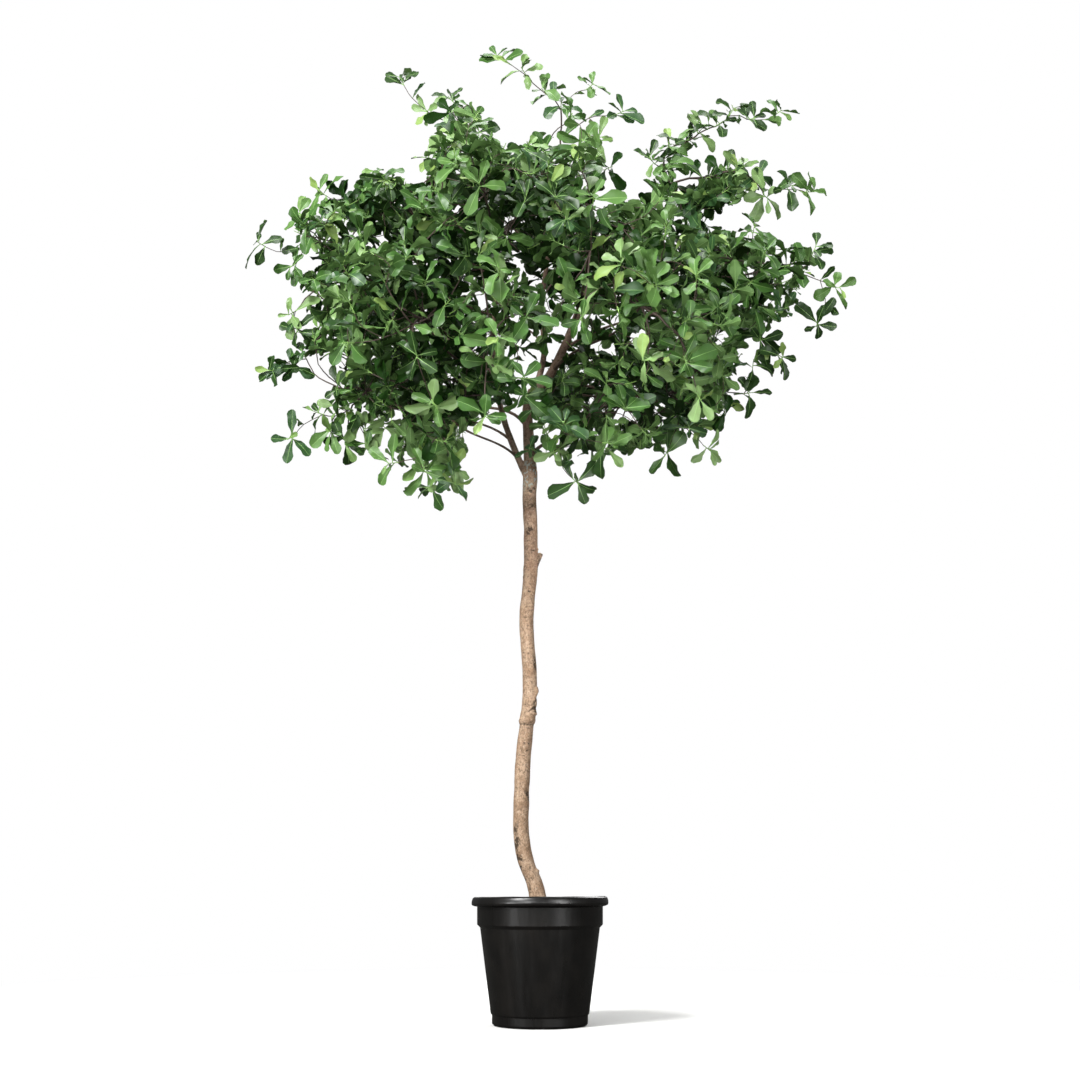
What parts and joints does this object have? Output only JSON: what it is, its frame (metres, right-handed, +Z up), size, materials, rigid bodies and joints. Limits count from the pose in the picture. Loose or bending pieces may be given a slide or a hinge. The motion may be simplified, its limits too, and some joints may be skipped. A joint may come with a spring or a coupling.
{
  "type": "potted standard tree",
  "caption": "Young broad-leaved evergreen grown as a standard: one bare stem, an open rounded crown of leafy twigs, in a round plastic nursery pot.",
  "frame": {"origin": "centre of the pot's flat underside, on the surface that the pot stands on", "axes": "+Z up along the stem; +X to the right and +Y away from the viewer of the front"},
  "size_m": [1.7778, 1.5129, 2.7608],
  "materials": {
    "pot_plastic": "satin",
    "potting_soil": "matte",
    "trunk_bark": "matte",
    "limb_bark": "matte",
    "leaves": "satin"
  },
  "bodies": {
    "root": {"pot": "pot_plastic", "soil": "potting_soil", "trunk": "trunk_bark", "bough_left": "limb_bark", "bough_right": "limb_bark", "bough_centre": "limb_bark", "bough_low_left_front": "limb_bark", "bough_low_left": "limb_bark", "bough_low_back_left": "limb_bark", "bough_low_right_front": "limb_bark", "bough_low_right": "limb_bark", "bough_low_back_right": "limb_bark", "bough_mid_left": "limb_bark", "bough_mid_left_front": "limb_bark", "bough_centre_front": "limb_bark", "bough_mid_right_front": "limb_bark", "bough_mid_right": "limb_bark", "bough_mid_back_right": "limb_bark", "bough_mid_back_left": "limb_bark", "bough_upper_left": "limb_bark", "bough_upper_mid_left": "limb_bark", "bough_upper_back": "limb_bark", "bough_centre_right_front": "limb_bark", "foliage_low_left_front": "leaves", "foliage_low_left": "leaves", "foliage_low_back_left": "leaves", "foliage_low_right_front": "leaves", "foliage_low_right": "leaves", "foliage_low_back_right": "leaves", "foliage_mid_left": "leaves", "foliage_mid_left_front": "leaves", "foliage_centre_front": "leaves", "foliage_mid_right_front": "leaves", "foliage_mid_right": "leaves", "foliage_mid_back_right": "leaves", "foliage_mid_back_left": "leaves", "foliage_upper_left": "leaves", "foliage_upper_mid_left": "leaves", "foliage_upper_front": "leaves", "foliage_upper_centre": "leaves", "foliage_upper_right": "leaves", "foliage_upper_back": "leaves", "foliage_centre_right_front": "leaves"}
  },
  "joints": []
}
